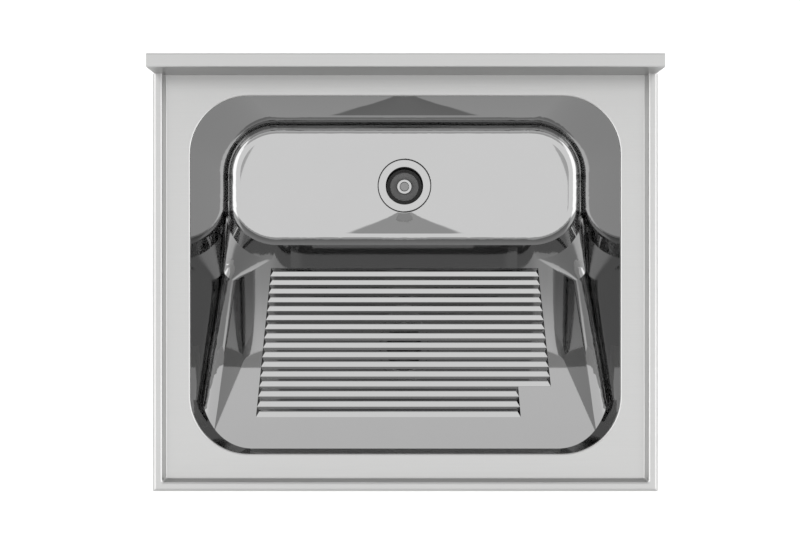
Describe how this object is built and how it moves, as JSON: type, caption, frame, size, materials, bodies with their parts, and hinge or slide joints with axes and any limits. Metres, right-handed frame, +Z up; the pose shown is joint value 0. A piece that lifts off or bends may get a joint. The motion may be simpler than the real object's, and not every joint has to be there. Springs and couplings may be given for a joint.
{
  "type": "laundry sink",
  "caption": "Stainless steel laundry sink with a raised rim, wall upstand, deep polished bowl, ribbed washboard slope and a round waste with a lift-out plug.",
  "frame": {"origin": "on the wall face, at the middle of the sink's width and at the height of the deck", "axes": "+X along the width to the right, +Y towards the wall, +Z up"},
  "size_m": [0.56, 0.478, 0.387],
  "materials": {
    "deck_steel": "satin brushed stainless steel",
    "bowl_steel": "mirror polished stainless steel",
    "channel_steel": "plain folded sheet steel",
    "waste_steel": "polished stainless steel",
    "damping_pad": "matt bitumen sheet",
    "foam": "closed-cell foam",
    "gasket_rubber": "moulded rubber",
    "plug_rubber": "moulded rubber",
    "plug_disc": "grey moulded rubber",
    "fitting_plastic": "moulded plastic"
  },
  "bodies": {
    "sink": {"deck_panel": "deck_steel", "backsplash": "deck_steel", "backsplash_end_left": "deck_steel", "backsplash_end_right": "deck_steel", "bowl": "bowl_steel", "stiffener_left": "channel_steel", "stiffener_right": "channel_steel", "stiffener_front": "channel_steel", "stiffener_rear": "channel_steel", "sound_pad_rear": "damping_pad", "sound_pad_left": "damping_pad", "sound_pad_right": "damping_pad", "seat_strip": "foam", "drain_body": "waste_steel", "drain_upper_gasket": "gasket_rubber", "drain_lower_gasket": "gasket_rubber", "drain_slip_ring": "fitting_plastic", "drain_lock_nut": "fitting_plastic", "tailpiece": "fitting_plastic", "tailpiece_washer": "gasket_rubber", "tailpiece_nut": "fitting_plastic"},
    "plug": {"plug_rubber": "plug_rubber", "plug_cap": "plug_disc", "plug_knob": "waste_steel", "plug_backplate": "waste_steel", "plug_screw": "waste_steel"}
  },
  "joints": [
    {"name": "plug_lift", "type": "slide", "parent": "sink", "child": "plug", "axis": [0, 0, 1], "range_m": [0, 0.32]}
  ]
}
